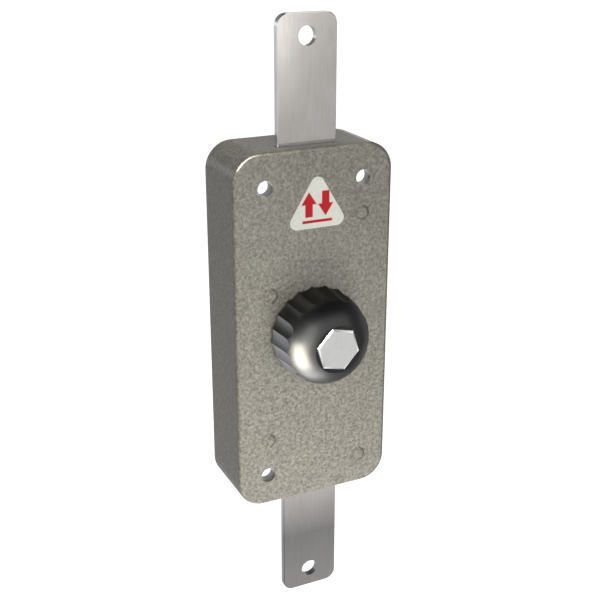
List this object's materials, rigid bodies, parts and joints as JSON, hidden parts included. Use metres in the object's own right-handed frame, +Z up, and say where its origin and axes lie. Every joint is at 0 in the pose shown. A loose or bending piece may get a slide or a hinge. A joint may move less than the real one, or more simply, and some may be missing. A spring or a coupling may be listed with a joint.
{
  "type": "surface-mounted double-bar door lock",
  "caption": "Box-shaped surface lock whose knob draws in flat steel bars above and below through a rack and pinion.",
  "frame": {"origin": "on the knob spindle's axis, in the plane of the back that meets the door", "axes": "+X to the right seen from the front, +Y back into the door, +Z up along the bars"},
  "size_m": [0.068, 0.0505, 0.249],
  "materials": {
    "hammered_paint": "hammered grey-beige enamel",
    "zinc_steel": "zinc-plated",
    "bright_steel": "bright zinc",
    "bar_steel": "satin rolled steel",
    "machined_steel": "machined",
    "spring_steel": "blued",
    "nylon": "natural moulded nylon",
    "black_plastic": "glossy black",
    "cap_metal": "satin",
    "label_film": null
  },
  "bodies": {
    "lock_case": {"case": "hammered_paint", "back_plate": "zinc_steel", "pillar_upper_right": "hammered_paint", "pillar_middle_left": "hammered_paint", "pillar_lower_left": "hammered_paint", "pillar_lower_right": "hammered_paint", "back_screw_upper_right": "zinc_steel", "back_screw_middle_left": "zinc_steel", "back_screw_lower_left": "zinc_steel", "back_screw_lower_right": "zinc_steel", "sleeve_upper_left": "bright_steel", "sleeve_upper_right": "bright_steel", "sleeve_lower_left": "bright_steel", "front_bush": "nylon", "rear_bush": "nylon", "detent_spring": "spring_steel", "spring_stop_pin": "zinc_steel", "upper_guide": "nylon", "lower_guide": "nylon", "front_label": "label_film"},
    "knob_and_shaft": {"knob": "black_plastic", "knob_washer": "zinc_steel", "knob_screw": "zinc_steel", "hex_cap": "cap_metal", "pinion_shaft": "machined_steel", "detent_cam": "machined_steel", "cam_circlip": "spring_steel"},
    "upper_bar": {"upper_bar": "bar_steel"},
    "lower_bar": {"lower_bar": "bar_steel"}
  },
  "joints": [
    {"name": "upper_bar_slide", "type": "slide", "parent": "lock_case", "child": "upper_bar", "axis": [0, 0, 1], "range_m": [-0.01885, 0]},
    {"name": "knob_turn", "type": "hinge", "parent": "lock_case", "child": "knob_and_shaft", "pos_m": [0, 0, 0], "axis": [0, -1, 0], "range_deg": [0, 180], "deforming": ["detent_spring"]},
    {"name": "lower_bar_slide", "type": "slide", "parent": "lock_case", "child": "lower_bar", "axis": [0, 0, 1], "range_m": [0, 0.01885]}
  ],
  "couplings": [
    {"joint": "knob_turn", "follows": "upper_bar_slide", "rad_per_m": -166.67},
    {"joint": "lower_bar_slide", "follows": "upper_bar_slide", "ratio": -1}
  ]
}
